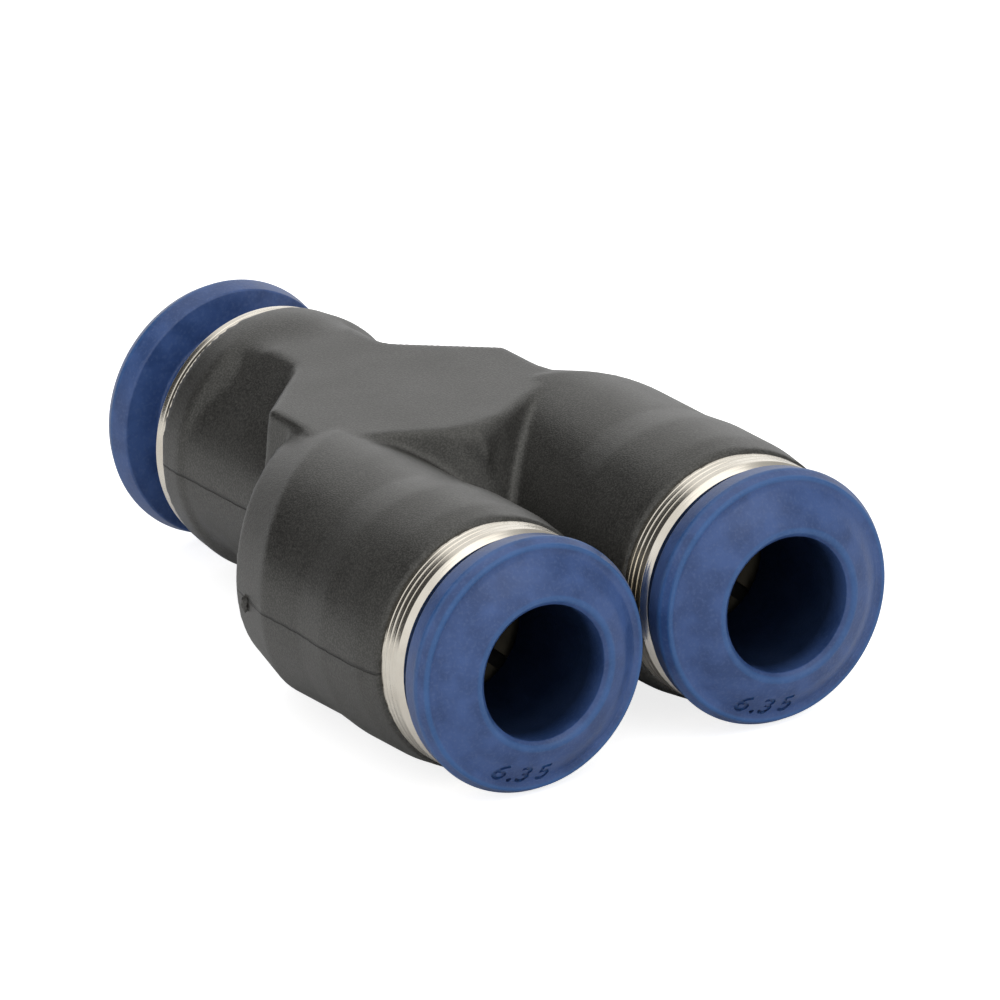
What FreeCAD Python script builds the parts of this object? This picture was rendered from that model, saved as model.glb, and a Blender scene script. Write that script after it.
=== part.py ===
"""Tubing Y connector for 1/4 in tube: one moulded body and three push-in ports.

Frame, in millimetres: X runs across the twin ports, -Y is their way out, +Y is the single
port's way out and Z is up.  The parting plane of the body is z = 0, and the origin is the
middle of the connector with its collars as they stand.

A port's pieces are drawn once, in the port's own frame: sketch x is the radius and sketch y is
the place along the axis, zero at the mouth face of the body and positive on the way out.
"""
import FreeCAD
import Part
import Sketcher
import math
import os

V = FreeCAD.Vector
Z_AXIS = V(0, 0, 1)

DRIVING = [
    # across a port, from the tube outwards
    ("tube_dia", 6.35, "outside diameter of the 1/4 in tube"),
    ("tube_play", 0.15, "bore of collar and socket over the tube, on the diameter"),
    ("sleeve_wall", 0.9, "wall of the collar's sleeve"),
    ("collar_play", 0.15, "sleeve to the ring's bore"),
    ("hook_height", 0.55, "hooks over the sleeve"),
    ("hook_play", 0.15, "hooks to the ring's pocket"),
    ("ring_wall", 0.35, "wall of the metal ring round its pocket"),
    ("barrel_wall", 0.83, "wall of the twin barrels at the waist, round the ring's seat"),
    ("rear_barrel_wall", 0.95, "the same for the rear barrel"),
    ("band_thick", 0.2, "band round the mouth over the waist, twin ports"),
    ("rear_band_thick", 0.08, "the same for the rear port"),
    ("mouth_drop", 0.18, "band down to the outer edge of the mouth face"),
    ("rim_inset", 0.15, "edge of the mouth face in to the ring's rim"),
    ("rim_chamfer", 0.25, "outer edge of the rim"),
    ("flange_over", 0.24, "widest line of the flange over the rim"),
    ("flange_back_drop", 0.19, "widest line in to the rear edge of the flange"),
    ("crease_drop", 0.29, "widest line in to the crease where the bevel ends"),
    ("valley_drop", 0.69, "widest line in to the shallow valley"),
    ("dome_drop", 1.64, "widest line in to the fullest place of the face"),
    ("lip_chamfer", 0.3, "edge of the collar's bore"),
    ("wedge_wall", 0.4, "wall of the wedge's tip round the bore"),
    ("claw_bite", 0.175, "claws' tips into the tube"),
    ("seal_squeeze", 0.075, "seal's lip into the tube"),
    ("spacer_room", 0.1, "spacer's bore to the bore of the socket"),
    ("passage_dia", 4.0, "flow passage"),
    # along a port, from the mouth face inwards or outwards
    ("tube_stop", 11.9, "mouth face to the tube stop"),
    ("front_rim", 1.6, "rim length of the twin ports"),
    ("rear_rim", 0.9, "rim length of the rear port"),
    ("press_gap", 0.1, "rim to flange with a twin collar pressed right in"),
    ("travel", 1.5, "collar's way from pressed right in to right out"),
    ("front_out", 0.5, "how far the twin collars stand out of their pressed place"),
    ("ring_lip", 0.3, "mouth face to the inner face of the ring's lip"),
    ("hook_gap", 0.05, "hooks to the ring's lip with the collar right out"),
    ("hook_length", 0.6, "length of the hooks"),
    ("wedge_length", 0.6, "wedge past the hooks"),
    ("flange_land", 1.1, "rear face of the flange to its widest line"),
    ("crease_reach", 1.7, "rear face of the flange to the crease"),
    ("valley_reach", 1.6, "rear face of the flange to the valley"),
    ("dome_reach", 2.38, "rear face of the flange to the fullest place of the face"),
    ("lip_reach", 2.77, "rear face of the flange to the lip"),
    ("slot_reach", 2.0, "rear face of the flange to the blind end of the slots"),
    ("claw_clear", 0.1, "hooks of the pressed collar to the claw ring"),
    ("claw_sheet", 0.35, "claw ring's sheet, along the axis"),
    ("claw_rise", 0.95, "claws' reach past their root, along the axis"),
    ("claw_room", 0.3, "claw ring's root to the inner end of the metal ring"),
    ("spacer_length", 1.85, "length of the spacer"),
    ("seal_length", 1.8, "length of the seal"),
    ("seal_lean", 0.5, "slant of the seal's front, at its lip"),
    ("seat_gap", 0.05, "between the ring, the spacer, the seal and the walls round them"),
    # slots and claws
    ("finger_slot", 0.8, "slots between the collar's fingers"),
    ("finger_count", 4, "fingers of a collar"),
    ("claw_gap", 0.7, "gap between two claws"),
    ("claw_count", 8, "claws in a ring"),
    # barrels
    ("barrel_gap", 0.74, "between the bands of the twin barrels"),
    ("front_web", 3.25, "origin to the tube stop of the twin ports"),
    ("rear_web", 2.25, "origin to the tube stop of the rear port"),
    ("mouth_taper", 1.6, "length of the taper from the band down to the mouth face"),
    ("band_length", 4.7, "mouth face to the inner end of the band, twin ports"),
    ("band_fade", 2.2, "length of the soft step from the band to the waist"),
    ("rear_band_length", 1.9, "mouth face to the inner end of the band, rear port"),
    ("rear_band_fade", 1.2, "length of the step from the rear band down to the neck's flats"),
    # shoulders behind the twin barrels
    ("shoulder_angle", 31.0, "slant of the shoulders and of the crotch, seen from above"),
    ("shoulder_start", 1.49, "origin to the start of the shoulder, on the barrel axis"),
    ("shoulder_length", 3.05, "length of the shoulder's cone, along the barrel"),
    ("shoulder_drop", 0.83, "waist down to the small end of the shoulder's cone"),
    # block between the barrels
    ("flat_depth", 0.3, "flats of the block below the rear barrel's crown"),
    ("block_side", 0.55, "twin ports' axis to the block's side wall, at the parting plane"),
    ("corner_reach", 3.84, "origin to the rear corner of the side wall"),
    ("flare_width", 5.14, "width at the flare's narrow end, at the parting plane"),
    ("flare_length", 2.73, "length past the flare's corner"),
    ("flare_round", 3.2, "inside round at the flare's corner"),
    ("draft", 7.0, "draft of the block's walls"),
    ("crotch_reach", 5.75, "origin to the sharp tip of the block's front"),
    ("crotch_foot", 7.4, "origin to the sharp tip of the crotch wall, at the parting plane"),
    ("crotch_round", 5.4, "round of the crotch wall's tip, at the parting plane"),
    ("crotch_lean", 20.0, "lean of the crotch wall"),
    # neck between the block and the rear mouth
    ("neck_flat", 4.4, "width of the neck's flats"),
    ("neck_side", 4.6, "height of the neck's side between its slanted flats, before the rounds"),
    ("neck_ease", 0.95, "share of half that height that a round takes up"),
    # cuts
    ("over_cut", 1.0, "how far a cut runs past what it cuts"),
    ("passage_extra", 0.1, "start of a passage's cut, inside its socket"),
]

DERIVED = [
    ("tube_r", "=tube_dia / 2"),
    ("tube_bore_r", "=tube_r + tube_play / 2"),
    ("sleeve_r", "=tube_bore_r + sleeve_wall"),
    ("ring_bore_r", "=sleeve_r + collar_play"),
    ("hook_r", "=sleeve_r + hook_height"),
    ("pocket_r", "=hook_r + hook_play"),
    ("seat_r", "=pocket_r + ring_wall"),
    ("barrel_r", "=seat_r + barrel_wall"),
    ("rear_barrel_r", "=seat_r + rear_barrel_wall"),
    ("band_r", "=barrel_r + band_thick"),
    ("rear_band_r", "=rear_barrel_r + rear_band_thick"),
    ("mouth_r", "=band_r - mouth_drop"),
    ("rear_mouth_r", "=rear_band_r - mouth_drop"),
    ("rim_r", "=mouth_r - rim_inset"),
    ("rim_face_r", "=rim_r - rim_chamfer"),
    ("flange_r", "=rim_r + flange_over"),
    ("flange_back_r", "=flange_r - flange_back_drop"),
    ("crease_r", "=flange_r - crease_drop"),
    ("valley_r", "=flange_r - valley_drop"),
    ("dome_r", "=flange_r - dome_drop"),
    ("lip_r", "=tube_bore_r + lip_chamfer"),
    ("wedge_r", "=tube_bore_r + wedge_wall"),
    ("half_pitch", "=band_r + barrel_gap / 2"),
    ("front_reach", "=tube_stop + front_web"),
    ("rear_reach", "=tube_stop + rear_web"),
    ("fade_end", "=band_length + band_fade"),
    ("rear_fade_end", "=rear_band_length + rear_band_fade"),
    ("barrel_depth", "=front_reach + half_pitch"),
    ("slope", "=tan(shoulder_angle * 1deg)"),
    ("shoulder_wide", "=barrel_r / cos(shoulder_angle * 1deg)"),
    ("shoulder_end_r", "=barrel_r - shoulder_drop"),
    ("shoulder_end_wide", "=shoulder_end_r / cos(shoulder_angle * 1deg)"),
    ("shoulder_end", "=shoulder_length - shoulder_start"),
    ("cut_side", "=band_r + over_cut"),
    ("cut_outer_x", "=half_pitch + cut_side"),
    ("cut_inner_x", "=half_pitch - cut_side"),
    ("cut_inner_left_x", "=cut_side - half_pitch"),
    ("cut_outer_y", "=shoulder_start + slope * cut_side"),
    ("cut_inner_y", "=slope * cut_side - shoulder_start"),
    ("cut_back", "=half_pitch + over_cut"),
    ("half_thick", "=rear_barrel_r - flat_depth"),
    ("block_x", "=half_pitch + block_side"),
    ("block_front_y", "=crotch_reach - slope * block_x"),
    ("flare_x", "=flare_width / 2"),
    ("flare_corner_y", "=corner_reach + block_x - flare_x"),
    ("flare_end_y", "=flare_corner_y + flare_length"),
    ("crotch_side_y", "=crotch_foot - slope * half_pitch"),
    ("neck_flat_x", "=neck_flat / 2"),
    ("neck_side_z", "=neck_side / 2"),
    ("neck_turn", "=atan((rear_barrel_r - neck_flat_x) / (half_thick - neck_side_z)) / 1deg"),
    ("neck_round", "=neck_ease * neck_side_z / tan(neck_turn * 1deg / 2)"),
    ("neck_end_y", "=rear_reach - rear_band_length"),
    ("neck_run", "=neck_end_y - corner_reach"),
    ("passage_r", "=passage_dia / 2"),
    ("passage_rise", "=front_web + rear_web"),
    ("passage_angle", "=atan(half_pitch / passage_rise) / 1deg"),
    ("passage_over", "=passage_r * half_pitch / passage_rise"),
    ("passage_back", "=passage_over + passage_extra"),
    ("passage_run", "=sqrt(half_pitch ^ 2 + passage_rise ^ 2) + passage_over / 2"),
    ("front_rim_edge", "=front_rim - rim_chamfer"),
    ("rear_rim_edge", "=rear_rim - rim_chamfer"),
    ("pressed", "=front_rim + press_gap"),
    ("hook_reach", "=pressed + travel + ring_lip + hook_gap"),
    ("hook_end", "=hook_reach + hook_length"),
    ("collar_end", "=hook_end + wedge_length"),
    ("lip_start", "=lip_reach - lip_chamfer"),
    ("half_slot", "=finger_slot / 2"),
    ("slot_end", "=collar_end + over_cut"),
    ("front_collar_y", "=front_reach + pressed + front_out"),
    ("rear_collar_y", "=rear_reach + pressed + travel"),
    ("claw_r", "=pocket_r - seat_gap"),
    ("claw_tip_r", "=tube_r - claw_bite"),
    ("claw_start", "=hook_end - pressed + claw_clear"),
    ("claw_back", "=claw_start + claw_sheet"),
    ("claw_tip_start", "=claw_start + claw_rise"),
    ("claw_tip_back", "=claw_tip_start + claw_sheet"),
    ("claw_lean", "=claw_rise / (claw_r - claw_tip_r)"),
    ("half_claw_gap", "=claw_gap / 2"),
    ("claw_gap_start", "=claw_back + claw_lean * seat_gap"),
    ("claw_gap_end", "=claw_tip_back + over_cut"),
    ("ring_depth", "=claw_back + claw_room"),
    ("spacer_r", "=seat_r - seat_gap"),
    ("spacer_bore_r", "=tube_bore_r + spacer_room"),
    ("spacer_start", "=ring_depth + seat_gap"),
    ("spacer_end", "=spacer_start + spacer_length"),
    ("seal_start", "=spacer_end + seat_gap"),
    ("seal_lip_start", "=seal_start + seal_lean"),
    ("seal_end", "=seal_start + seal_length"),
    ("seal_lip_r", "=tube_r - seal_squeeze"),
    ("seat_end", "=seal_end + seat_gap"),
]

# name, way across, way out, name of the reach, rim length and collar place
PORTS = [
    ("front_left", -1, -1, "front_reach", "front_rim", "front_rim_edge", "front_collar_y"),
    ("front_right", 1, -1, "front_reach", "front_rim", "front_rim_edge", "front_collar_y"),
    ("rear", 0, 1, "rear_reach", "rear_rim", "rear_rim_edge", "rear_collar_y"),
]

doc = FreeCAD.newDocument("TubingY")
sheet = doc.addObject("Spreadsheet::Sheet", "Sizes")
row = 0
for alias, number, note in DRIVING:
    row += 1
    sheet.set("A%d" % row, str(number))
    sheet.setAlias("A%d" % row, alias)
    sheet.set("B%d" % row, note)
for alias, formula in DERIVED:
    row += 1
    sheet.set("A%d" % row, formula)
    sheet.setAlias("A%d" % row, alias)
doc.recompute()


def size(name):
    """Number of a size, with a minus sign in front of its name where it is negative."""
    if name == "0":
        return 0.0
    if name.startswith("-"):
        return -float(sheet.get(name[1:]))
    return float(sheet.get(name))


def formula(name):
    """The same size as an expression."""
    if name.startswith("-"):
        return "-Sizes.%s" % name[1:]
    return "Sizes.%s" % name


def new_body(name):
    """A body for one node."""
    body = doc.addObject("PartDesign::Body", name)
    body.Label = name
    return body


def new_sketch(body, name, plane, base=("0", "0", "0"), axis=Z_AXIS, turn=0.0):
    """A sketch on one of the body's own planes, moved by named sizes and turned."""
    sketch = body.newObject("Sketcher::SketchObject", name)
    support = [o for o in body.Origin.OriginFeatures if o.Role == plane][0]
    sketch.AttachmentSupport = [(support, "")]
    sketch.MapMode = "FlatFace"
    angle = turn if isinstance(turn, float) else size(turn)
    place = V(size(base[0]), size(base[1]), size(base[2]))
    sketch.AttachmentOffset = FreeCAD.Placement(place, FreeCAD.Rotation(axis, angle))
    for letter, along in zip("xyz", base):
        if along != "0":
            sketch.setExpression("AttachmentOffset.Base.%s" % letter, formula(along))
    if not isinstance(turn, float):
        sketch.setExpression("AttachmentOffset.Rotation.Angle", formula(turn))
    return sketch


def hold(sketch, kind, geo, end, name):
    """Distance of a point from the sketch's origin along x or y."""
    if name == "0":
        line = -2 if kind == "DistanceX" else -1
        sketch.addConstraint(Sketcher.Constraint("PointOnObject", geo, end, line))
        return
    index = sketch.addConstraint(Sketcher.Constraint(kind, -1, 1, geo, end, size(name)))
    sketch.setExpression("Constraints[%d]" % index, formula(name))


def outline(sketch, corners):
    """Closed outline through corners (x, y, round), each a size's name; round may be None."""
    count = len(corners)
    tips = [V(size(x), size(y), 0) for x, y, _ in corners]
    starts = []
    ends = []
    rounds = []
    for i in range(count):
        to_last = (tips[i - 1] - tips[i]).normalize()
        to_next = (tips[(i + 1) % count] - tips[i]).normalize()
        if corners[i][2] is None:
            ends.append(tips[i])
            starts.append(tips[i])
            rounds.append(None)
            continue
        radius = size(corners[i][2])
        half = to_last.getAngle(to_next) / 2
        reach = radius / math.tan(half)
        middle = (to_last + to_next).normalize()
        centre = tips[i] + middle * (radius / math.sin(half))
        ends.append(tips[i] + to_last * reach)
        starts.append(tips[i] + to_next * reach)
        rounds.append((centre, tips[i] + (centre - tips[i]) * (1 - radius / (centre - tips[i]).Length)))
    lines = []
    for i in range(count):
        lines.append(sketch.addGeometry(Part.LineSegment(starts[i], ends[(i + 1) % count]), False))
    for i in range(count):
        before = lines[i - 1]
        after = lines[i]
        point = sketch.addGeometry(Part.Point(tips[i]), True)
        hold(sketch, "DistanceX", point, 1, corners[i][0])
        hold(sketch, "DistanceY", point, 1, corners[i][1])
        if rounds[i] is None:
            sketch.addConstraint(Sketcher.Constraint("Coincident", before, 2, point, 1))
            sketch.addConstraint(Sketcher.Constraint("Coincident", after, 1, point, 1))
            continue
        sketch.addConstraint(Sketcher.Constraint("PointOnObject", point, 1, before))
        sketch.addConstraint(Sketcher.Constraint("PointOnObject", point, 1, after))
        arc = sketch.addGeometry(Part.Arc(ends[i], rounds[i][1], starts[i]), False)
        first, last = 1, 2
        if (sketch.getPoint(arc, 1) - ends[i]).Length > (sketch.getPoint(arc, 2) - ends[i]).Length:
            first, last = 2, 1
        sketch.addConstraint(Sketcher.Constraint("Tangent", before, 2, arc, first))
        sketch.addConstraint(Sketcher.Constraint("Tangent", after, 1, arc, last))
        index = sketch.addConstraint(Sketcher.Constraint("Radius", arc, size(corners[i][2])))
        sketch.setExpression("Constraints[%d]" % index, formula(corners[i][2]))


def ellipse(sketch, wide, high):
    """Ellipse about the sketch's origin, with its half axes along x and y."""
    shape = Part.Ellipse(V(size(wide), 0, 0), V(0, size(high), 0), V(0, 0, 0))
    geo = sketch.addGeometry(shape, False)
    sketch.exposeInternalGeometry(geo)
    sketch.addConstraint(Sketcher.Constraint("Coincident", geo, 3, -1, 1))
    hold(sketch, "DistanceX", geo + 1, 1, wide)
    sketch.addConstraint(Sketcher.Constraint("PointOnObject", geo + 1, 1, -1))
    hold(sketch, "DistanceY", geo + 2, 1, high)


def turned(body, name, kind, sketch):
    """Revolution or Groove about the sketch's own upright axis."""
    feature = body.newObject("PartDesign::" + kind, name)
    feature.Profile = sketch
    feature.ReferenceAxis = (sketch, ["V_Axis"])
    feature.Angle = 360
    return feature


def through(body, name, sketch):
    """Cut right through, both ways."""
    feature = body.newObject("PartDesign::Pocket", name)
    feature.Profile = sketch
    feature.Type = "ThroughAll"
    feature.Midplane = True
    return feature


def around(body, name, original, sketch, count):
    """Repeat a feature round the sketch's upright axis."""
    pattern = body.newObject("PartDesign::PolarPattern", name)
    pattern.Originals = [original]
    pattern.Axis = (sketch, ["V_Axis"])
    pattern.Angle = 360
    pattern.Occurrences = int(size(count))
    pattern.setExpression("Occurrences", formula(count))
    body.Tip = pattern
    return pattern


def cut_gap(body, name, half_width, start, end, count):
    """Gaps through a sleeve's wall, from one side of the axis only, and repeated round it."""
    sketch = new_sketch(body, name + "Outline", "XY_Plane")
    outline(sketch, [
        (half_width, "-" + start, None),
        ("-" + half_width, "-" + start, None),
        ("-" + half_width, "-" + end, None),
        (half_width, "-" + end, None),
    ])
    pocket = body.newObject("PartDesign::Pocket", name)
    pocket.Profile = sketch
    pocket.Type = "ThroughAll"
    pocket.Reversed = True
    doc.recompute()
    return around(body, name + "s", pocket, sketch, count)


def port_base(across, reach, out):
    """Mouth face centre of a port, as names of sizes."""
    x = {-1: "-half_pitch", 0: "0", 1: "half_pitch"}[across]
    return (x, ("-" if out < 0 else "") + reach, "0")


def place_at_port(body, across, out, along):
    """Put a body that is drawn in the port's frame at its place along the port."""
    turn = FreeCAD.Rotation(Z_AXIS, 180 if out < 0 else 0)
    x, y, _ = port_base(across, along, out)
    body.Placement = FreeCAD.Placement(V(size(x), size(y), 0), turn)
    if x != "0":
        body.setExpression("Placement.Base.x", formula(x))
    body.setExpression("Placement.Base.y", formula(y))


def make_barrel(body, name, place, turn, sizes):
    """Barrel: taper from the mouth face, band round the mouth, soft step and waist."""
    mouth, band, waist, band_end, fade, depth = sizes
    sketch = new_sketch(body, name + "_barrel_section", "XY_Plane", place, Z_AXIS, turn)
    corners = [
        ("0", "0", None),
        (mouth, "0", None),
        (band, "-mouth_taper", None),
        (band, "-" + band_end, None),
        (waist, "-" + fade, None),
    ]
    if depth != fade:
        corners.append((waist, "-" + depth, None))
    corners.append(("0", "-" + depth, None))
    outline(sketch, corners)
    turned(body, name + "_barrel", "Revolution", sketch)
    doc.recompute()


def make_y_body():
    """The moulded Y: twin barrels and their shoulders, the block, the rear barrel and the bores."""
    body = new_body("y_body")

    # twin barrels
    twin = ("mouth_r", "band_r", "barrel_r", "band_length", "fade_end", "barrel_depth")
    for name, across, out, reach, _, _, _ in PORTS:
        if across:
            make_barrel(body, name, port_base(across, reach, out), 180.0, twin)

    # twin barrels cut off along a slant, with a cone between two slanted sections as the shoulder
    for name, sign in (("right", ""), ("left", "-")):
        inner_x = "cut_inner_x" if sign == "" else "cut_inner_left_x"
        sketch = new_sketch(body, name + "_slant_outline", "XY_Plane")
        outline(sketch, [
            (sign + "cut_outer_x", "-cut_outer_y", None),
            (sign + "cut_outer_x", "cut_back", None),
            (inner_x, "cut_back", None),
            (inner_x, "cut_inner_y", None),
        ])
        through(body, name + "_slant", sketch)
        doc.recompute()
    for name, sign, lean in (("right", "", V(0, -1, 0)), ("left", "-", V(0, 1, 0))):
        place = (sign + "half_pitch", "0", "shoulder_start")
        wide_end = new_sketch(body, name + "_shoulder_start", "XZ_Plane", place, lean, "shoulder_angle")
        ellipse(wide_end, "shoulder_wide", "barrel_r")
        place = (sign + "half_pitch", "0", "-shoulder_end")
        small_end = new_sketch(body, name + "_shoulder_end", "XZ_Plane", place, lean, "shoulder_angle")
        ellipse(small_end, "shoulder_end_wide", "shoulder_end_r")
        doc.recompute()
        shoulder = body.newObject("PartDesign::AdditiveLoft", name + "_shoulder")
        shoulder.Profile = wide_end
        shoulder.Sections = [small_end]
        shoulder.Ruled = True
        doc.recompute()

    # rear mouth, and the neck with its flats
    single = ("rear_mouth_r", "rear_band_r", "half_thick", "rear_band_length", "rear_fade_end", "rear_fade_end")
    make_barrel(body, "rear", port_base(0, "rear_reach", 1), 0.0, single)
    sketch = new_sketch(body, "NeckSection", "XZ_Plane", ("0", "0", "-neck_end_y"))
    outline(sketch, [
        ("neck_flat_x", "half_thick", None),
        ("rear_barrel_r", "neck_side_z", "neck_round"),
        ("rear_barrel_r", "-neck_side_z", "neck_round"),
        ("neck_flat_x", "-half_thick", None),
        ("-neck_flat_x", "-half_thick", None),
        ("-rear_barrel_r", "-neck_side_z", "neck_round"),
        ("-rear_barrel_r", "neck_side_z", "neck_round"),
        ("-neck_flat_x", "half_thick", None),
    ])
    neck = body.newObject("PartDesign::Pad", "Neck")
    neck.Profile = sketch
    neck.setExpression("Length", "Sizes.neck_run")
    doc.recompute()

    # drafted block and leaning crotch wall, from the parting plane up and down
    block = new_sketch(body, "BlockOutline", "XY_Plane")
    outline(block, [
        ("0", "-crotch_reach", None),
        ("block_x", "-block_front_y", None),
        ("block_x", "corner_reach", None),
        ("flare_x", "flare_corner_y", "flare_round"),
        ("flare_x", "flare_end_y", None),
        ("-flare_x", "flare_end_y", None),
        ("-flare_x", "flare_corner_y", "flare_round"),
        ("-block_x", "corner_reach", None),
        ("-block_x", "-block_front_y", None),
    ])
    crotch = new_sketch(body, "CrotchOutline", "XY_Plane")
    outline(crotch, [
        ("0", "-crotch_foot", "crotch_round"),
        ("half_pitch", "-crotch_side_y", None),
        ("half_pitch", "corner_reach", None),
        ("-half_pitch", "corner_reach", None),
        ("-half_pitch", "-crotch_side_y", None),
    ])
    for name, sketch, lean in (("Block", block, "draft"), ("Crotch", crotch, "crotch_lean")):
        for side, reverse in (("Top", False), ("Bottom", True)):
            pad = body.newObject("PartDesign::Pad", name + side)
            pad.Profile = sketch
            pad.Reversed = reverse
            pad.setExpression("Length", "Sizes.half_thick")
            pad.setExpression("TaperAngle", "-Sizes.%s" % lean)
            doc.recompute()

    # stepped bore of each port, and the two flow passages
    for name, across, out, reach, _, _, _ in PORTS:
        turn = 180.0 if out < 0 else 0.0
        sketch = new_sketch(body, name + "_bore", "XY_Plane", port_base(across, reach, out), Z_AXIS, turn)
        outline(sketch, [
            ("0", "press_gap", None),
            ("seat_r", "press_gap", None),
            ("seat_r", "-seat_end", None),
            ("tube_bore_r", "-seat_end", None),
            ("tube_bore_r", "-tube_stop", None),
            ("0", "-tube_stop", None),
        ])
        turned(body, name + "_socket", "Groove", sketch)
        doc.recompute()
    for name, x, axis in (("right", "half_pitch", Z_AXIS), ("left", "-half_pitch", -Z_AXIS)):
        place = (x, "-front_web", "0")
        sketch = new_sketch(body, name + "_run", "XY_Plane", place, axis, "passage_angle")
        outline(sketch, [
            ("0", "-passage_back", None),
            ("passage_r", "-passage_back", None),
            ("passage_r", "passage_run", None),
            ("0", "passage_run", None),
        ])
        turned(body, name + "_passage", "Groove", sketch)
        doc.recompute()
    return body


def make_ring(port, rim, edge):
    """Turned metal ring: a rim outside the mouth, a lip and a pocket behind it."""
    body = new_body(port + "_ring")
    sketch = new_sketch(body, port + "_ring_section", "XY_Plane")
    outline(sketch, [
        ("ring_bore_r", rim, None),
        ("rim_face_r", rim, None),
        ("rim_r", edge, None),
        ("rim_r", "0", None),
        ("seat_r", "0", None),
        ("seat_r", "-ring_depth", None),
        ("pocket_r", "-ring_depth", None),
        ("pocket_r", "-ring_lip", None),
        ("ring_bore_r", "-ring_lip", None),
    ])
    turned(body, port + "_ring_turned", "Revolution", sketch)
    return body


def make_collar(port):
    """Release collar, drawn from the rear face of its flange, with its fingers and hooks."""
    body = new_body(port + "_collar")
    sketch = new_sketch(body, port + "_collar_section", "XY_Plane")
    outline(sketch, [
        ("tube_bore_r", "-collar_end", None),
        ("wedge_r", "-collar_end", None),
        ("sleeve_r", "-hook_end", None),
        ("hook_r", "-hook_reach", None),
        ("sleeve_r", "-hook_reach", None),
        ("sleeve_r", "0", None),
        ("flange_back_r", "0", None),
        ("flange_r", "flange_land", None),
        ("crease_r", "crease_reach", None),
        ("valley_r", "valley_reach", None),
        ("dome_r", "dome_reach", None),
        ("lip_r", "lip_reach", None),
        ("tube_bore_r", "lip_start", None),
    ])
    turned(body, port + "_collar_moulded", "Revolution", sketch)
    doc.recompute()
    cut_gap(body, port + "_finger_slot", "half_slot", "slot_reach", "slot_end", "finger_count")
    return body


def make_claws(port):
    """Stamped claw ring: a dished sheet in the ring's pocket, slotted into claws that lean inwards."""
    body = new_body(port + "_claws")
    sketch = new_sketch(body, port + "_claws_section", "XY_Plane")
    outline(sketch, [
        ("claw_r", "-claw_start", None),
        ("claw_r", "-claw_back", None),
        ("claw_tip_r", "-claw_tip_back", None),
        ("claw_tip_r", "-claw_tip_start", None),
    ])
    turned(body, port + "_claws_formed", "Revolution", sketch)
    doc.recompute()
    cut_gap(body, port + "_claw_gap", "half_claw_gap", "claw_gap_start", "claw_gap_end", "claw_count")
    return body


def make_spacer(port):
    """Spacer between the metal ring and the seal, with a cone that backs the claws."""
    body = new_body(port + "_spacer")
    sketch = new_sketch(body, port + "_spacer_section", "XY_Plane")
    outline(sketch, [
        ("pocket_r", "-spacer_start", None),
        ("spacer_r", "-spacer_start", None),
        ("spacer_r", "-spacer_end", None),
        ("spacer_bore_r", "-spacer_end", None),
    ])
    turned(body, port + "_spacer_moulded", "Revolution", sketch)
    return body


def make_seal(port):
    """Lip seal: its slanted front ends in the lip that the tube squeezes."""
    body = new_body(port + "_seal")
    sketch = new_sketch(body, port + "_seal_section", "XY_Plane")
    outline(sketch, [
        ("spacer_r", "-seal_start", None),
        ("spacer_r", "-seal_end", None),
        ("seal_lip_r", "-seal_end", None),
        ("seal_lip_r", "-seal_lip_start", None),
    ])
    turned(body, port + "_seal_moulded", "Revolution", sketch)
    return body


nodes = [make_y_body()]
for port, across, out, reach, rim, edge, collar_place in PORTS:
    ring = make_ring(port, rim, edge)
    claws = make_claws(port)
    spacer = make_spacer(port)
    seal = make_seal(port)
    for body in (ring, claws, spacer, seal):
        place_at_port(body, across, out, reach)
    collar = make_collar(port)
    place_at_port(collar, across, out, collar_place)
    nodes += [ring, collar, claws, spacer, seal]
doc.recompute()

for thing in doc.Objects:
    if "Invalid" in thing.State or "Error" in thing.State:
        raise RuntimeError("%s is %s" % (thing.Name, thing.State))
for body in nodes:
    if body.Shape.isNull() or not body.Shape.isValid() or len(body.Shape.Solids) != 1:
        raise RuntimeError("%s has no single valid solid" % body.Label)

os.makedirs("parts", exist_ok=True)
for body in nodes:
    body.Shape.exportStep("parts/%s.step" % body.Label)
    box = body.Shape.optimalBoundingBox()
    print("%-20s %9.3f mm3  x %.2f..%.2f  y %.2f..%.2f  z %.2f..%.2f" % (
        body.Label, body.Shape.Volume, box.XMin, box.XMax, box.YMin, box.YMax, box.ZMin, box.ZMax))
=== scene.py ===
"""Dressed view of the tubing Y connector: materials, turned and moulded pieces, light and camera.

Metres, in the CAD frame: -Y is the twin ports' way out, +Y the single port's, +Z up.
Lengths of the pieces are written in millimetres and made into metres when the mesh is made.
"""
import bmesh
import bpy
import math
import numpy
from mathutils import Matrix, Vector, noise


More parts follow.
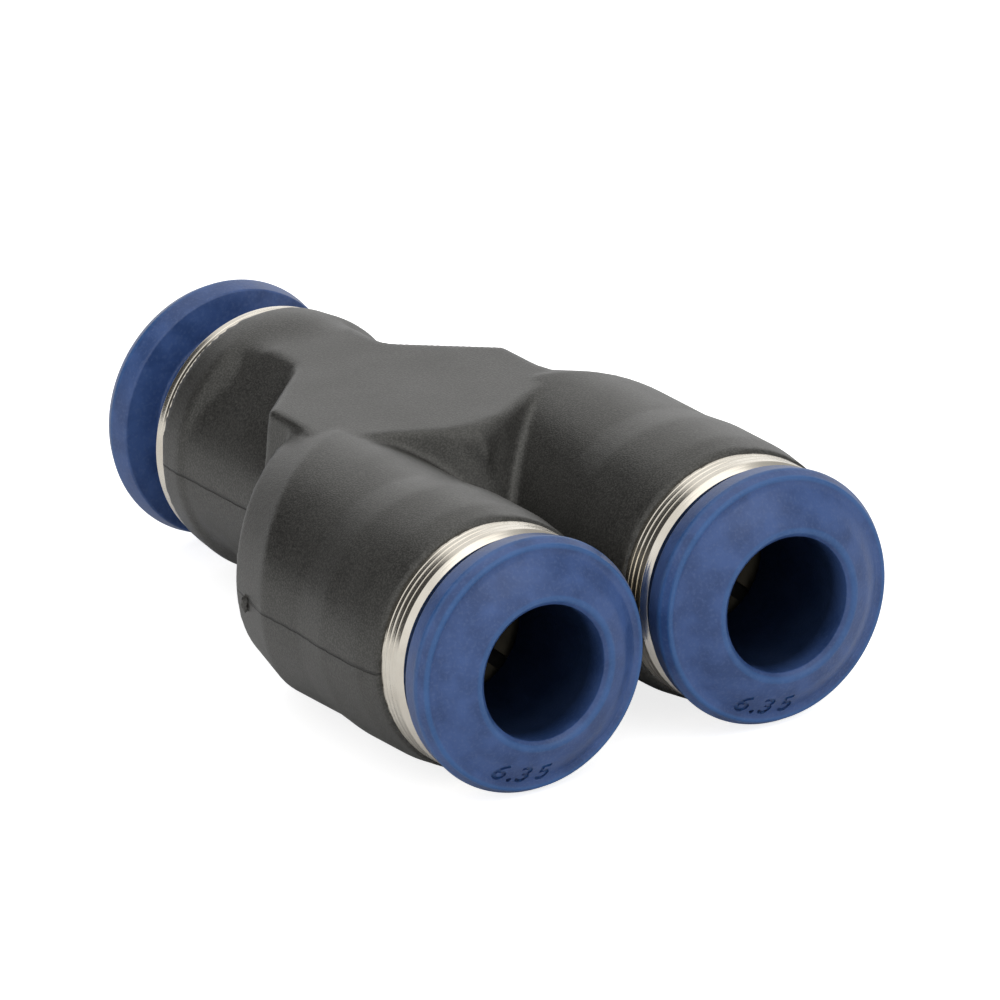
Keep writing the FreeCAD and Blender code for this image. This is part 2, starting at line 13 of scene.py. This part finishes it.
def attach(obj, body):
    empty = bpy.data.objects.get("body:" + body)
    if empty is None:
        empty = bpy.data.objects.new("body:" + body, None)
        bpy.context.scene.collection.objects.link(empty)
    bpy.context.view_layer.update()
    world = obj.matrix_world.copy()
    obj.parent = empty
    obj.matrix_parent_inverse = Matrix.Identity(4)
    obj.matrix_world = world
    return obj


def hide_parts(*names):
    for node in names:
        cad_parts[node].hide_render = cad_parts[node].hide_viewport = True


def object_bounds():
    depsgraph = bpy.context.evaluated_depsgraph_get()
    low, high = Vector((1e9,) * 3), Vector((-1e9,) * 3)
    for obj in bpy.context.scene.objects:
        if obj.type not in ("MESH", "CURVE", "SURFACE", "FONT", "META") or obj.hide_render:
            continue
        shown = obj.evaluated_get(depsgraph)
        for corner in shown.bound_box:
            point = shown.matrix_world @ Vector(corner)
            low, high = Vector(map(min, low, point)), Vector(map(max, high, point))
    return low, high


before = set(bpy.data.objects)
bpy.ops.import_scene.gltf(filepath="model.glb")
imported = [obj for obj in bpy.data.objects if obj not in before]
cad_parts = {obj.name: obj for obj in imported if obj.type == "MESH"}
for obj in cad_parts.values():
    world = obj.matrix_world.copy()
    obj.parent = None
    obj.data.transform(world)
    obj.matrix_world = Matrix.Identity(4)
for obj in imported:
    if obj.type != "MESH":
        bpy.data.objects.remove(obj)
cad_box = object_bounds()

MM = 0.001

# ports: name, centre across, way out along Y, mouth face, ring's rim,
# collar flange's rear face, body of the collar
PORTS = (
    ("front_left", -6.6, -1, 15.15, 1.6, 17.35, "front_left_release"),
    ("front_right", 6.6, -1, 15.15, 1.6, 17.35, "front_right_release"),
    ("rear", 0.0, 1, 14.15, 0.9, 17.35, "rear_release"),
)

# the photograph's camera
CAMERA_AZIMUTH = math.radians(-31.288)
CAMERA_ELEVATION = math.radians(21.188)
CAMERA_ROLL = math.radians(-3.142)
CAMERA_DISTANCE = 1.7723
CAMERA_AIM_RIGHT = 2.585 * MM
CAMERA_AIM_UP = 1.028 * MM
CAMERA_AIM = Vector((0, -0.85 * MM, 0))
CAMERA_PIXELS_PER_METRE = 21691.8
IMAGE_PIXELS = 1000
SENSOR = 36.0

# light and floor
TENT_LEVEL = 1.0
# patches of the tent: towards, cosines of their rim and core, gain
TENT_PATCHES = (
    ((-0.46, 0.78, 0.42), 0.83, 0.93, -0.94),
    ((0.89, -0.29, 0.35), 0.80, 0.96, -0.50),
    ((0.20, -0.68, 0.71), 0.88, 0.97, 0.75),
    ((0.59, 0.80, 0.05), 0.84, 0.98, 0.30),
)
SOFT_BOX_SIZE = 0.30
SOFT_BOX_WATTS = 0.12
SOFT_BOX_PLACE = Vector((0.05, 0.05, 0.5))
FLOOR_REACH = 2.0
FLOOR_COLOUR = (0.86, 0.86, 0.86, 1)
FLOOR_GLOW = 0.80

# pieces: angle of a sharp edge, fade of a painted edge highlight in millimetres, steps of a full turn
SHARP_ANGLE = math.radians(38)
PAINTED_HIGHLIGHT_FADE = 0.10
TURN_STEPS = 216


# camera, floor and light

def add_camera():
    """Camera of the photograph."""
    back = Vector((
        math.sin(CAMERA_AZIMUTH) * math.cos(CAMERA_ELEVATION),
        -math.cos(CAMERA_AZIMUTH) * math.cos(CAMERA_ELEVATION),
        math.sin(CAMERA_ELEVATION),
    ))
    level_right = Vector((math.cos(CAMERA_AZIMUTH), math.sin(CAMERA_AZIMUTH), 0))
    level_up = back.cross(level_right)
    right = math.cos(CAMERA_ROLL) * level_right + math.sin(CAMERA_ROLL) * level_up
    up = back.cross(right)
    data = bpy.data.cameras.new("camera")
    data.sensor_width = SENSOR
    data.lens = SENSOR * CAMERA_PIXELS_PER_METRE * CAMERA_DISTANCE / IMAGE_PIXELS
    data.clip_start = 0.01
    data.clip_end = 20
    camera = bpy.data.objects.new("camera", data)
    camera.matrix_world = Matrix((right, up, back)).transposed().to_4x4()
    camera.location = CAMERA_AIM + back * CAMERA_DISTANCE + right * CAMERA_AIM_RIGHT + up * CAMERA_AIM_UP
    bpy.context.scene.collection.objects.link(camera)
    bpy.context.scene.camera = camera


def add_soft_box():
    """Weak soft box overhead, which gives the floor its shadow."""
    data = bpy.data.lights.new("soft_box", "AREA")
    data.shape = "RECTANGLE"
    data.size = SOFT_BOX_SIZE
    data.size_y = SOFT_BOX_SIZE
    data.energy = SOFT_BOX_WATTS
    light = bpy.data.objects.new("soft_box", data)
    light.location = SOFT_BOX_PLACE
    light.rotation_euler = (-SOFT_BOX_PLACE).to_track_quat("-Z", "Y").to_euler()
    bpy.context.scene.collection.objects.link(light)


def add_world():
    """White tent with darker and brighter patches, and plain white where the camera sees it."""
    world = bpy.data.worlds.new("studio")
    bpy.context.scene.world = world
    world.use_nodes = True
    nodes = world.node_tree.nodes
    links = world.node_tree.links
    nodes.clear()
    output = nodes.new("ShaderNodeOutputWorld")
    place = nodes.new("ShaderNodeTexCoord")
    tent = nodes.new("ShaderNodeBackground")
    level = TENT_LEVEL
    for towards, rim, core, gain in TENT_PATCHES:
        aim = nodes.new("ShaderNodeVectorMath")
        aim.operation = "DOT_PRODUCT"
        aim.inputs[1].default_value = Vector(towards).normalized()
        patch = nodes.new("ShaderNodeMapRange")
        patch.interpolation_type = "SMOOTHSTEP"
        patch.inputs["From Min"].default_value = rim
        patch.inputs["From Max"].default_value = core
        patch.inputs["To Min"].default_value = 0.0
        patch.inputs["To Max"].default_value = gain
        links.new(place.outputs["Generated"], aim.inputs[0])
        links.new(aim.outputs["Value"], patch.inputs["Value"])
        level = maths(nodes, links, "ADD", level, patch.outputs["Result"])
    links.new(level, tent.inputs["Strength"])
    seen = nodes.new("ShaderNodeBackground")
    seen.inputs["Color"].default_value = (1, 1, 1, 1)
    seen.inputs["Strength"].default_value = 1.0
    path = nodes.new("ShaderNodeLightPath")
    mix = nodes.new("ShaderNodeMixShader")
    links.new(path.outputs["Is Camera Ray"], mix.inputs["Fac"])
    links.new(tent.outputs["Background"], mix.inputs[1])
    links.new(seen.outputs["Background"], mix.inputs[2])
    links.new(mix.outputs["Shader"], output.inputs["Surface"])


def add_floor(height):
    """Pale floor under the object: near white for the camera, with a faint shadow."""
    reach = FLOOR_REACH
    mesh = bpy.data.meshes.new("floor")
    corners = [(-reach, -reach, 0), (reach, -reach, 0), (reach, reach, 0), (-reach, reach, 0)]
    mesh.from_pydata(corners, [], [(0, 1, 2, 3)])
    floor = bpy.data.objects.new("floor", mesh)
    floor.location = (0, 0, height)
    bpy.context.scene.collection.objects.link(floor)
    mat, nodes, links, shader = new_material("floor")
    shader.inputs["Base Color"].default_value = FLOOR_COLOUR
    shader.inputs["Roughness"].default_value = 0.9
    shader.inputs["Specular IOR Level"].default_value = 0.0
    glow = nodes.new("ShaderNodeEmission")
    glow.inputs["Strength"].default_value = FLOOR_GLOW
    both = nodes.new("ShaderNodeAddShader")
    path = nodes.new("ShaderNodeLightPath")
    seen = nodes.new("ShaderNodeMixShader")
    links.new(glow.outputs["Emission"], both.inputs[0])
    links.new(shader.outputs["BSDF"], both.inputs[1])
    links.new(path.outputs["Is Camera Ray"], seen.inputs["Fac"])
    links.new(shader.outputs["BSDF"], seen.inputs[1])
    links.new(both.outputs["Shader"], seen.inputs[2])
    links.new(seen.outputs["Shader"], nodes["Material Output"].inputs["Surface"])
    floor.data.materials.append(mat)


# helpers for materials

def new_material(name):
    """Node material with its main nodes at hand."""
    mat = bpy.data.materials.new(name)
    mat.use_nodes = True
    return mat, mat.node_tree.nodes, mat.node_tree.links, mat.node_tree.nodes["Principled BSDF"]


def object_noise(nodes, links, scale, detail, stretch=(1, 1, 1)):
    """Noise over the object's own coordinates, one feature about 1/scale metres."""
    place = nodes.new("ShaderNodeTexCoord")
    mapping = nodes.new("ShaderNodeMapping")
    mapping.inputs["Scale"].default_value = stretch
    texture = nodes.new("ShaderNodeTexNoise")
    texture.inputs["Scale"].default_value = scale
    texture.inputs["Detail"].default_value = detail
    links.new(place.outputs["Object"], mapping.inputs["Vector"])
    links.new(mapping.outputs["Vector"], texture.inputs["Vector"])
    return texture.outputs["Fac"]


def spread(nodes, links, source, low, high, to_low, to_high):
    """Map one range to another, with the ends held."""
    node = nodes.new("ShaderNodeMapRange")
    node.inputs["From Min"].default_value = low
    node.inputs["From Max"].default_value = high
    node.inputs["To Min"].default_value = to_low
    node.inputs["To Max"].default_value = to_high
    links.new(source, node.inputs["Value"])
    return node.outputs["Result"]


def blend_colours(nodes, links, factor, first, second):
    """Two colours mixed by a factor."""
    node = nodes.new("ShaderNodeMix")
    node.data_type = "RGBA"
    for socket, value in ((node.inputs[6], first), (node.inputs[7], second)):
        if isinstance(value, tuple):
            socket.default_value = (*value, 1)
        else:
            links.new(value, socket)
    links.new(factor, node.inputs[0])
    return node.outputs[2]


def mottled(nodes, links, source, first, second):
    """Two colours mixed by a noise."""
    tint = spread(nodes, links, source, 0.3, 0.7, 0.0, 1.0)
    return blend_colours(nodes, links, tint, first, second)


def maths(nodes, links, operation, *values):
    """One Math node, fed by numbers or sockets."""
    node = nodes.new("ShaderNodeMath")
    node.operation = operation
    for index, value in enumerate(values):
        if isinstance(value, (int, float)):
            node.inputs[index].default_value = value
        else:
            links.new(value, node.inputs[index])
    return node.outputs[0]


def bumped(nodes, links, shader, height, depth):
    """Relief on the shader's normal, depth in metres between the height's 0 and 1."""
    node = nodes.new("ShaderNodeBump")
    node.inputs["Strength"].default_value = 1.0
    node.inputs["Distance"].default_value = depth
    links.new(height, node.inputs["Height"])
    links.new(node.outputs["Normal"], shader.inputs["Normal"])


# materials

def body_material():
    """Black glass-filled nylon: matt, faintly cloudy, finely grained, with the mould's parting line."""
    dark = (0.016, 0.0155, 0.0145)
    pale = (0.025, 0.0245, 0.023)
    grain = (0.090, 0.088, 0.082)
    parting = (0.004, 0.004, 0.004)
    line_wander = 0.00003
    line_core = 0.00003
    line_edge = 0.00009
    grain_depth = 0.000013
    mat, nodes, links, shader = new_material("black_nylon")
    cloud = object_noise(nodes, links, 300, 2)
    fine = object_noise(nodes, links, 12000, 1)
    flow = object_noise(nodes, links, 2200, 2, (1.0, 0.4, 1.0))
    tint = spread(nodes, links, cloud, 0.35, 0.70, 0.0, 1.0)
    colour = blend_colours(nodes, links, tint, dark, pale)
    speck = spread(nodes, links, fine, 0.42, 0.66, 0.0, 0.60)
    colour = blend_colours(nodes, links, speck, colour, grain)
    place = nodes.new("ShaderNodeTexCoord")
    split = nodes.new("ShaderNodeSeparateXYZ")
    links.new(place.outputs["Object"], split.inputs["Vector"])
    wander = spread(nodes, links, flow, 0.3, 0.7, -line_wander, line_wander)
    height = maths(nodes, links, "ADD", split.outputs["Z"], wander)
    away = maths(nodes, links, "ABSOLUTE", height)
    line = spread(nodes, links, away, line_core, line_edge, 1.0, 0.0)
    colour = blend_colours(nodes, links, line, colour, parting)
    links.new(colour, shader.inputs["Base Color"])
    links.new(spread(nodes, links, cloud, 0.3, 0.7, 0.33, 0.41), shader.inputs["Roughness"])
    shader.inputs["Specular IOR Level"].default_value = 0.75
    shader.inputs["Specular Tint"].default_value = (1.0, 0.99, 0.93, 1)
    relief = maths(nodes, links, "ADD", fine, maths(nodes, links, "MULTIPLY", flow, 0.25))
    relief = maths(nodes, links, "SUBTRACT", relief, maths(nodes, links, "MULTIPLY", line, 2.5))
    bumped(nodes, links, shader, relief, grain_depth)
    return mat


def blue_acetal(name, first, second):
    """Blue acetal: satin and finely mottled, with a painted highlight along the rounded edges and
    painted shade darkening it down the bore.
    """
    speck_colour = (0.10, 0.16, 0.34)
    # colours of the painted highlight on the edges and of the painted shade down the bore
    painted_highlight_colour = (0.035, 0.16, 0.42)
    painted_shade_colour = (0.003, 0.006, 0.016)
    grain_depth = 0.000010
    mat, nodes, links, shader = new_material(name)
    cloud = object_noise(nodes, links, 650, 3)
    fine = object_noise(nodes, links, 7000, 1)
    tint = spread(nodes, links, cloud, 0.38, 0.62, 0.0, 1.0)
    colour = blend_colours(nodes, links, tint, first, second)
    speck = spread(nodes, links, fine, 0.50, 0.75, 0.0, 0.35)
    colour = blend_colours(nodes, links, speck, colour, speck_colour)
    painted_light = nodes.new("ShaderNodeAttribute")
    painted_light.attribute_name = "painted_light"
    # painted highlight: paler along the rounded rim, crease and lip
    painted_light_mark = spread(nodes, links, painted_light.outputs["Fac"], 0.0, 1.0, 0.0, 0.75)
    colour = blend_colours(nodes, links, painted_light_mark, colour, painted_highlight_colour)
    # painted shade: much darker down the bore
    deep = spread(nodes, links, painted_light.outputs["Fac"], 0.0, -1.0, 0.0, 0.85)
    colour = blend_colours(nodes, links, deep, colour, painted_shade_colour)
    links.new(colour, shader.inputs["Base Color"])
    links.new(spread(nodes, links, cloud, 0.3, 0.7, 0.28, 0.42), shader.inputs["Roughness"])
    bumped(nodes, links, shader, fine, grain_depth)
    return mat


def ring_material():
    """Nickel-plated brass, turned: fine marks round the axis and a warm tint."""
    mat, nodes, links, shader = new_material("turned_nickel")
    marks = object_noise(nodes, links, 9000, 3, (0.0, 1.0, 0.0))
    cloud = object_noise(nodes, links, 700, 3)
    colour = mottled(nodes, links, cloud, (0.80, 0.74, 0.64), (0.92, 0.87, 0.77))
    links.new(colour, shader.inputs["Base Color"])
    shader.inputs["Metallic"].default_value = 1.0
    links.new(spread(nodes, links, marks, 0.3, 0.7, 0.12, 0.24), shader.inputs["Roughness"])
    bumped(nodes, links, shader, marks, 0.000012)
    return mat


def claw_material():
    """Spring steel sheet, stamped, with near-black colours as painted shade for where it sits down the
    bore.
    """
    mat, nodes, links, shader = new_material("spring_steel_painted_shade")
    marks = object_noise(nodes, links, 2500, 3, (1.0, 1.0, 0.2))
    # painted shade: near-black steel for down the bore
    colour = mottled(nodes, links, marks, (0.010, 0.009, 0.007), (0.034, 0.030, 0.022))
    links.new(colour, shader.inputs["Base Color"])
    shader.inputs["Metallic"].default_value = 1.0
    links.new(spread(nodes, links, marks, 0.3, 0.7, 0.30, 0.45), shader.inputs["Roughness"])
    return mat


def spacer_material():
    """Acetal of the spacer behind the claws, near black as painted shade for where it sits down the
    bore.
    """
    mat, nodes, links, shader = new_material("spacer_acetal_painted_shade")
    cloud = object_noise(nodes, links, 900, 3)
    # painted shade: near black for down the bore
    colour = mottled(nodes, links, cloud, (0.020, 0.020, 0.019), (0.034, 0.034, 0.032))
    links.new(colour, shader.inputs["Base Color"])
    links.new(spread(nodes, links, cloud, 0.3, 0.7, 0.40, 0.55), shader.inputs["Roughness"])
    return mat


def seal_material():
    """Black nitrile rubber of the lip seal."""
    mat, nodes, links, shader = new_material("nitrile")
    cloud = object_noise(nodes, links, 1500, 3)
    colour = mottled(nodes, links, cloud, (0.012, 0.012, 0.012), (0.024, 0.024, 0.023))
    links.new(colour, shader.inputs["Base Color"])
    links.new(spread(nodes, links, cloud, 0.3, 0.7, 0.45, 0.65), shader.inputs["Roughness"])
    bumped(nodes, links, shader, cloud, 0.000010)
    return mat


# helpers for pieces

def new_piece(name, mesh, body, mat):
    """Object of a finished mesh that rides on a body of the frame."""
    piece = bpy.data.objects.new(name, mesh)
    bpy.context.scene.collection.objects.link(piece)
    mesh.materials.clear()
    mesh.materials.append(mat)
    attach(piece, body)
    return piece


def finished_mesh(name, bm):
    """Mesh of a bmesh, smooth but for its sharp edges."""
    bmesh.ops.recalc_face_normals(bm, faces=bm.faces)
    mesh = bpy.data.meshes.new(name)
    bm.to_mesh(mesh)
    bm.free()
    mesh.shade_smooth()
    mesh.set_sharp_from_angle(angle=SHARP_ANGLE)
    return mesh


def round_corners(corners, steps=6):
    """Closed profile, points with their painted light, of corners (along, radius, round, painted light:
    above 0 a painted highlight, below 0 painted shade).
    """
    points = []
    count = len(corners)
    for i, (along, radius, bend, painted_light) in enumerate(corners):
        tip = Vector((along, radius))
        if not bend:
            points.append((tip, painted_light))
            continue
        last = Vector(corners[i - 1][:2]) - tip
        after = Vector(corners[(i + 1) % count][:2]) - tip
        half = last.angle(after) / 2
        reach = min(bend / math.tan(half), 0.49 * last.length, 0.49 * after.length)
        fit = reach * math.tan(half)
        middle = (last.normalized() + after.normalized()).normalized()
        centre = tip + middle * (fit / math.sin(half))
        start = tip + last.normalized() * reach - centre
        end = tip + after.normalized() * reach - centre
        turn = start.angle_signed(end)
        # a painted highlight fades out beside each rounded edge it marks
        if painted_light > 0:
            fade = min(PAINTED_HIGHLIGHT_FADE, 0.4 * (last.length - reach))
            points.append((centre + start + last.normalized() * fade, 0.0))
        for k in range(steps + 1):
            points.append((centre + Matrix.Rotation(-turn * k / steps, 2) @ start, painted_light))
        if painted_light > 0:
            fade = min(PAINTED_HIGHLIGHT_FADE, 0.4 * (after.length - reach))
            points.append((centre + end + after.normalized() * fade, 0.0))
    return points


def turned_mesh(name, points, across, out, base):
    """Closed profile turned round a port's axis."""
    bm = bmesh.new()
    # this layer carries painted light: a painted highlight on rounded edges and painted shade down the
    # bore
    painted_light_mark = bm.verts.layers.float.new("painted_light")
    rows = []
    for k in range(TURN_STEPS):
        angle = 2 * math.pi * k / TURN_STEPS
        row = []
        for (along, radius), painted_light in points:
            x = (across + radius * math.cos(angle)) * MM
            y = out * (base + along) * MM
            z = radius * math.sin(angle) * MM
            vert = bm.verts.new((x, y, z))
            vert[painted_light_mark] = painted_light
            row.append(vert)
        rows.append(row)
    count = len(points)
    for k in range(TURN_STEPS):
        for i in range(count):
            here, there = rows[k], rows[(k + 1) % TURN_STEPS]
            bm.faces.new((here[i], here[(i + 1) % count], there[(i + 1) % count], there[i]))
    return finished_mesh(name, bm)


# moulded body

BODY_VOXEL = 0.21
BODY_SMOOTHING = 1
# creases that the moulding blends, on the top and mirrored below: centre, reach, rounds
EASED = (
    ((0, -5.5, 5.9), (2.6, 1.9, 1.5), 33),
    ((0, 11.8, 5.9), (3.6, 2.1, 1.3), 79),
)
EVERYWHERE = (99, 99, 99)
EASE_SLOPE = 1.6
EASE_STEP = 0.5


def ease(points, edges, centre, reach, rounds):
    """Smooth the surface round a centre, fully in the middle and not at all past the reach."""
    away = numpy.linalg.norm((points - numpy.array(centre)) / numpy.array(reach), axis=1)
    weight = numpy.clip(EASE_SLOPE * (1 - away), 0, 1)
    near = edges[(weight[edges] > 0).any(axis=1)]
    first, second = near[:, 0], near[:, 1]
    size = len(points)
    count = numpy.maximum(numpy.bincount(near.ravel(), minlength=size), 1)
    for _ in range(rounds):
        for axis in range(3):
            line = points[:, axis]
            total = numpy.bincount(first, line[second], size) + numpy.bincount(second, line[first], size)
            points[:, axis] += EASE_STEP * weight * (total / count - line)


def add_body(mat):
    """The CAD body with the rounds and fillets of a moulding: remeshed finely, then eased."""
    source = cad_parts["y_body"]
    mesh = source.data.copy()
    mesh.transform(Matrix.Scale(1 / MM, 4))
    rough = bpy.data.objects.new("body_remesh", mesh)
    bpy.context.scene.collection.objects.link(rough)
    remesh = rough.modifiers.new("remesh", "REMESH")
    remesh.mode = "VOXEL"
    remesh.voxel_size = BODY_VOXEL
    remesh.adaptivity = 0.0
    shell = bpy.data.meshes.new_from_object(rough.evaluated_get(bpy.context.evaluated_depsgraph_get()))
    shell.name = "body_shell"
    bpy.data.objects.remove(rough)
    points = numpy.zeros(3 * len(shell.vertices))
    shell.vertices.foreach_get("co", points)
    points = points.reshape(-1, 3)
    edges = numpy.zeros(2 * len(shell.edges), dtype=numpy.int32)
    shell.edges.foreach_get("vertices", edges)
    edges = edges.reshape(-1, 2)
    ease(points, edges, (0, 0, 0), EVERYWHERE, BODY_SMOOTHING)
    for side in (-1, 1):
        for (x, y, z), reach, rounds in EASED:
            ease(points, edges, (x, y, side * z), reach, rounds)
    shell.vertices.foreach_set("co", (points * MM).ravel())
    shell.shade_smooth()
    piece = new_piece("body_shell", shell, "fitting", mat)
    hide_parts("y_body")


# gate stub: middle, half sizes, and how lumpy it is
GATE_MIDDLE = (-12.13, -2.97, -0.27)
GATE_HALF = (0.22, 0.24, 0.42)
GATE_LUMPS = 0.28
GATE_LUMP_SCALE = 1.7
GATE_LUMP_SHIFT = Vector((3.1, 0.4, 7.7))


def add_gate_mark(mat):
    """Torn-off stub of the mould's gate, on the outer side of the left shoulder."""
    bm = bmesh.new()
    bmesh.ops.create_icosphere(bm, subdivisions=4, radius=1.0)
    for vert in bm.verts:
        vert.co *= 1 + GATE_LUMPS * noise.noise(vert.co * GATE_LUMP_SCALE + GATE_LUMP_SHIFT)
        for axis in range(3):
            vert.co[axis] = vert.co[axis] * GATE_HALF[axis] + GATE_MIDDLE[axis]
    bmesh.ops.scale(bm, vec=(MM, MM, MM), verts=bm.verts)
    new_piece("gate_mark", finished_mesh("gate_mark", bm), "fitting", mat)


# turned rings

# grooves: distance behind the rim, depth, half width
RING_GROOVES = (
    (0.46, 0.010, 0.05),
    (0.60, 0.020, 0.04),
    (0.84, 0.012, 0.06),
    (0.98, 0.026, 0.05),
    (1.16, 0.012, 0.04),
    (1.30, 0.022, 0.05),
)
# radii of the ring, and how far behind the mouth face its parts end
RING_OUTSIDE = 5.90
RING_FACE = 5.63
RING_SEAT = 5.20
RING_POCKET = 4.85
RING_BORE = 4.30
RING_END = -3.2
RING_LIP_END = -0.3
GROOVE_ROOM = 0.2
GROOVE_ROUND = 0.012


def add_ring(port, across, out, mouth, rim, mat):
    """Nickel ring: chamfered rim with a few turned grooves, and the lip and pocket behind it."""
    corners = [
        (rim, RING_BORE, 0.08, 0),
        (rim, RING_FACE, 0.05, 0),
        (rim - 0.24, RING_OUTSIDE - 0.01, 0.06, 0),
    ]
    for back, deep, wide in RING_GROOVES:
        if rim - back < GROOVE_ROOM:
            break
        corners += [
            (rim - back + wide, RING_OUTSIDE, GROOVE_ROUND, 0),
            (rim - back, RING_OUTSIDE - deep, 0.0, 0),
            (rim - back - wide, RING_OUTSIDE, GROOVE_ROUND, 0),
        ]
    corners += [
        (0.10, RING_OUTSIDE, 0.03, 0),
        (0.0, RING_OUTSIDE - 0.08, 0.0, 0),
        (0.0, RING_SEAT, 0.0, 0),
        (RING_END, RING_SEAT, 0.0, 0),
        (RING_END, RING_POCKET, 0.0, 0),
        (RING_LIP_END, RING_POCKET, 0.0, 0),
        (RING_LIP_END, RING_BORE, 0.05, 0),
    ]
    mesh = turned_mesh(port + "_turned_ring", round_corners(corners, 4), across, out, mouth)
    piece = new_piece(port + "_turned_ring", mesh, "fitting", mat)
    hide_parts(port + "_ring")


# release collars

# corners: distance out from the flange's rear face, radius, round, painted light (above 0 a painted
# highlight on the edge, below 0 painted shade down the bore)
COLLAR_CORNERS = [
    (1.2, 3.25, 0.0, -0.95),
    (-1.0, 3.25, 0.0, -1.0),
    (-4.75, 3.25, 0.0, -1.0),
    (-4.75, 3.65, 0.10, -1.0),
    (-4.15, 4.15, 0.10, -1.0),
    (-3.55, 4.70, 0.05, 0.0),
    (-3.55, 4.15, 0.05, 0.0),
    (0.0, 4.15, 0.15, 0.0),
    (0.0, 5.95, 0.12, 0.0),
    (1.1, 6.14, 0.35, 0.35),
    (1.7, 5.85, 0.14, 0.55),
    (1.6, 5.45, 0.40, 0.0),
    (2.38, 4.50, 1.6, 0.0),
    (2.77, 3.55, 0.22, 0.45),
    (2.47, 3.25, 0.12, 0.0),
]

# size number: its figures with their angles round the axis, in degrees, and how they are cut
SIZE_NUMBER = (("6", -117), (".", -109), ("3", -102), ("5", -90))
SIZE_RADIUS = 4.98
SIZE_ALONG = 1.99
SIZE_SLOPE = math.atan2(0.78, 0.95)
SIZE_HEIGHT = 1.10
SIZE_DEPTH = 0.08
SIZE_ROOM = 0.50
SIZE_STROKE = 0.03
FIGURE_SHARE = 0.7
WELD = 0.00000002


def number_cutter(across, out, flange, mat):
    """Plain size number, its figures standing in the slope between the valley and the dome."""
    bm = bmesh.new()
    for figure, degrees in SIZE_NUMBER:
        angle = math.radians(degrees)
        outward = Vector((math.cos(angle), 0, math.sin(angle)))
        way_out = Vector((0, out, 0))
        up = -outward * math.cos(SIZE_SLOPE) + way_out * math.sin(SIZE_SLOPE)
        face = outward * math.sin(SIZE_SLOPE) + way_out * math.cos(SIZE_SLOPE)
        along = up.cross(face)
        base = Vector((across, out * (flange + SIZE_ALONG), 0)) + outward * SIZE_RADIUS
        curve = bpy.data.curves.new("figure", "FONT")
        curve.body = figure
        curve.size = SIZE_HEIGHT / FIGURE_SHARE
        curve.align_x = "CENTER"
        curve.extrude = (SIZE_DEPTH + SIZE_ROOM) / 2
        curve.offset = SIZE_STROKE
        curve.resolution_u = 4
        text = bpy.data.objects.new("figure", curve)
        bpy.context.scene.collection.objects.link(text)
        mesh = bpy.data.meshes.new_from_object(text.evaluated_get(bpy.context.evaluated_depsgraph_get()))
        bpy.data.objects.remove(text)
        place = Matrix((along, up, face)).transposed().to_4x4()
        place.translation = base - up * (SIZE_HEIGHT / 2) + face * ((SIZE_ROOM - SIZE_DEPTH) / 2)
        mesh.transform(Matrix.Scale(MM, 4) @ place)
        bm.from_mesh(mesh)
        bpy.data.meshes.remove(mesh)
    bmesh.ops.remove_doubles(bm, verts=bm.verts, dist=WELD)
    bmesh.ops.recalc_face_normals(bm, faces=bm.faces)
    mesh = bpy.data.meshes.new("number")
    bm.to_mesh(mesh)
    bm.free()
    mesh.materials.append(mat)
    cutter = bpy.data.objects.new("number", mesh)
    bpy.context.scene.collection.objects.link(cutter)
    return cutter


def cut_number(piece, cutter):
    """Sink the number into the collar's face."""
    cut = piece.modifiers.new("number", "BOOLEAN")
    cut.operation = "DIFFERENCE"
    cut.solver = "EXACT"
    cut.material_mode = "TRANSFER"
    cut.object = cutter
    mesh = bpy.data.meshes.new_from_object(piece.evaluated_get(bpy.context.evaluated_depsgraph_get()))
    piece.modifiers.clear()
    piece.data = mesh
    mesh.set_sharp_from_angle(angle=SHARP_ANGLE)
    bpy.data.objects.remove(cutter)


def add_collar(port, across, out, flange, body, mat, number_painted_shade_mat):
    """Release collar: rounded flange with a shallow valley round a domed face, and its sleeve."""
    mesh = turned_mesh(port + "_release_collar", round_corners(COLLAR_CORNERS), across, out, flange)
    piece = new_piece(port + "_release_collar", mesh, body, mat)
    if out < 0:
        cut_number(piece, number_cutter(across, out, flange, number_painted_shade_mat))
    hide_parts(port + "_collar")


# scene

add_camera()
bpy.context.scene.view_settings.view_transform = "Standard"
add_world()
add_floor(cad_box[0][2])
add_soft_box()

body_mat = body_material()
collar_mat = blue_acetal("blue_acetal", (0.033, 0.074, 0.215), (0.054, 0.112, 0.305))
# the sunk figures get a darker blue as painted shade in their recess
number_painted_shade_mat = blue_acetal("blue_acetal_sunk_painted_shade", (0.020, 0.052, 0.165), (0.026, 0.066, 0.200))
ring_mat = ring_material()
INNER = {"claws": claw_material(), "spacer": spacer_material(), "seal": seal_material()}

add_body(body_mat)
add_gate_mark(body_mat)
for port, across, out, mouth, rim, flange, body in PORTS:
    add_ring(port, across, out, mouth, rim, ring_mat)
    add_collar(port, across, out, flange, body, collar_mat, number_painted_shade_mat)
    for kind, mat in INNER.items():
        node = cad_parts["%s_%s" % (port, kind)]
        node.data.materials.clear()
        node.data.materials.append(mat)
